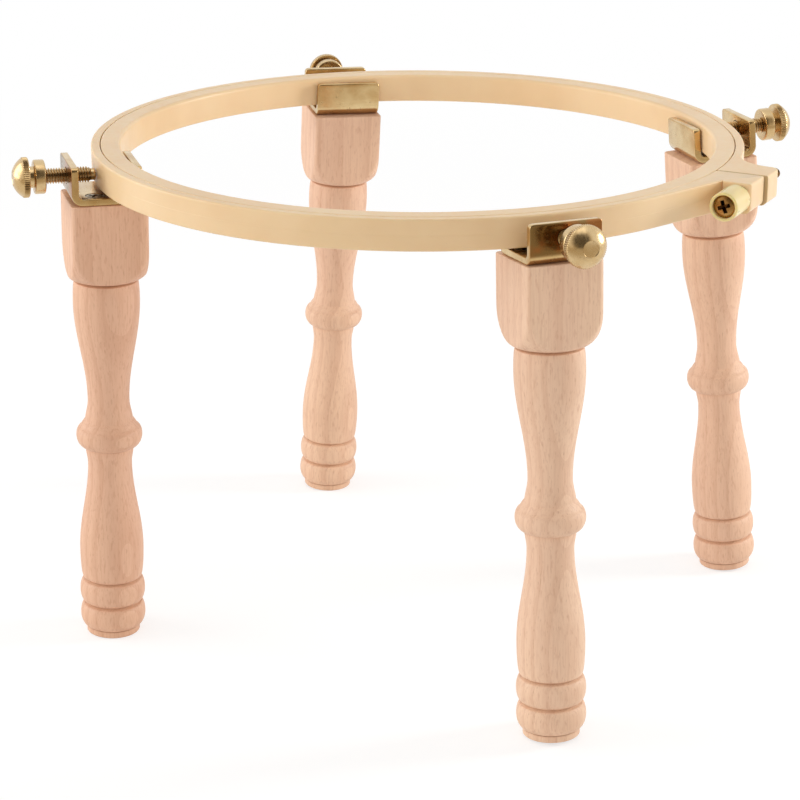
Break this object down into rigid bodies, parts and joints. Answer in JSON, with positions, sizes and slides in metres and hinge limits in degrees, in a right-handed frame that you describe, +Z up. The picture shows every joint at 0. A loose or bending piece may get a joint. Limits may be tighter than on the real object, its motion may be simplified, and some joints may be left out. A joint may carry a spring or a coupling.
{
  "type": "embroidery hoop stand",
  "caption": "Table stand for embroidery: a split hoop closed by a tension screw on turned wooden legs with clamp brackets.",
  "frame": {"origin": "on the table under the centre of the hoop", "axes": "+Z up; +X from the hoop's centre through the split and its tension screw"},
  "size_m": [0.2664, 0.25, 0.1961],
  "materials": {
    "hoop_plastic": "cream moulded plastic, soft satin",
    "sleeve_plastic": "pale yellow moulded plastic",
    "beech": "sanded beech, thin clear sealer",
    "bracket_brass": "bright brass plate on bent sheet",
    "thumb_brass": "turned and polished brass plate",
    "tension_brass": "brass-plated screw, darker in the recess",
    "steel": "plain zinc-plated steel"
  },
  "bodies": {
    "hoop": {"outer_ring": "hoop_plastic", "tension_nut": "steel"},
    "inner_hoop": {"inner_ring": "hoop_plastic"},
    "sleeve": {"tension_sleeve": "sleeve_plastic"},
    "tension": {"tension_screw": "tension_brass"},
    "leg_right": {"leg_right": "beech", "bracket_right": "bracket_brass", "wood_screws_right": "steel"},
    "nose_right": {"thumb_nose_right": "thumb_brass"},
    "thumb_right": {"thumb_screw_right": "thumb_brass"},
    "leg_back": {"leg_back": "beech", "bracket_back": "bracket_brass", "wood_screws_back": "steel"},
    "nose_back": {"thumb_nose_back": "thumb_brass"},
    "thumb_back": {"thumb_screw_back": "thumb_brass"},
    "leg_left": {"leg_left": "beech", "bracket_left": "bracket_brass", "wood_screws_left": "steel"},
    "nose_left": {"thumb_nose_left": "thumb_brass"},
    "thumb_left": {"thumb_screw_left": "thumb_brass"},
    "leg_front": {"leg_front": "beech", "bracket_front": "bracket_brass", "wood_screws_front": "steel"},
    "nose_front": {"thumb_nose_front": "thumb_brass"},
    "thumb_front": {"thumb_screw_front": "thumb_brass"}
  },
  "joints": [
    {"name": "inner_hoop_lift", "type": "slide", "parent": "hoop", "child": "inner_hoop", "axis": [0, 0, 1], "range_m": [0, 0.03]},
    {"name": "tension_travel", "type": "slide", "parent": "hoop", "child": "sleeve", "axis": [0, -1, 0], "range_m": [0, 0.0056]},
    {"name": "tension_turn", "type": "hinge", "parent": "sleeve", "child": "tension", "pos_m": [0.1348, -0.0284, 0.18731], "axis": [0, -1, 0], "range_deg": [0, 2880]},
    {"name": "leg_right_swing", "type": "hinge", "parent": "hoop", "child": "leg_right", "pos_m": [0, 0, 0.18166], "axis": [0, 0, 1], "range_deg": [-20, 20]},
    {"name": "thumb_right_travel", "type": "slide", "parent": "leg_right", "child": "nose_right", "axis": [0.7234, 0.6865, 0.0732], "range_m": [0, 0.007]},
    {"name": "thumb_right_turn", "type": "hinge", "parent": "nose_right", "child": "thumb_right", "pos_m": [0.0922, 0.08777, 0.18677], "axis": [0.7234, 0.6865, 0.0732], "range_deg": [0, 2520]},
    {"name": "leg_back_swing", "type": "hinge", "parent": "hoop", "child": "leg_back", "pos_m": [0, 0, 0.18166], "axis": [0, 0, 1], "range_deg": [-20, 20]},
    {"name": "thumb_back_travel", "type": "slide", "parent": "leg_back", "child": "nose_back", "axis": [-0.6678, 0.7417, 0.0628], "range_m": [0, 0.007]},
    {"name": "thumb_back_turn", "type": "hinge", "parent": "nose_back", "child": "thumb_back", "pos_m": [-0.08499, 0.09477, 0.18675], "axis": [-0.6678, 0.7417, 0.0628], "range_deg": [0, 2520]},
    {"name": "leg_left_swing", "type": "hinge", "parent": "hoop", "child": "leg_left", "pos_m": [0, 0, 0.18166], "axis": [0, 0, 1], "range_deg": [-20, 20]},
    {"name": "thumb_left_travel", "type": "slide", "parent": "leg_left", "child": "nose_left", "axis": [-0.7313, -0.6819, 0.014], "range_m": [0, 0.007]},
    {"name": "thumb_left_turn", "type": "hinge", "parent": "nose_left", "child": "thumb_left", "pos_m": [-0.09303, -0.0869, 0.18642], "axis": [-0.7313, -0.6819, 0.014], "range_deg": [0, 2520]},
    {"name": "leg_front_swing", "type": "hinge", "parent": "hoop", "child": "leg_front", "pos_m": [0, 0, 0.18166], "axis": [0, 0, 1], "range_deg": [-20, 20]},
    {"name": "thumb_front_travel", "type": "slide", "parent": "leg_front", "child": "nose_front", "axis": [0.7431, -0.6667, 0.0576], "range_m": [0, 0.007]},
    {"name": "thumb_front_turn", "type": "hinge", "parent": "nose_front", "child": "thumb_front", "pos_m": [0.09474, -0.08503, 0.18674], "axis": [0.7431, -0.6667, 0.0576], "range_deg": [0, 2520]}
  ],
  "couplings": [
    {"joint": "tension_turn", "follows": "tension_travel", "rad_per_m": 8975.9},
    {"joint": "thumb_right_turn", "follows": "thumb_right_travel", "rad_per_m": 6283.2},
    {"joint": "thumb_back_turn", "follows": "thumb_back_travel", "rad_per_m": 6283.2},
    {"joint": "thumb_left_turn", "follows": "thumb_left_travel", "rad_per_m": 6283.2},
    {"joint": "thumb_front_turn", "follows": "thumb_front_travel", "rad_per_m": 6283.2}
  ]
}
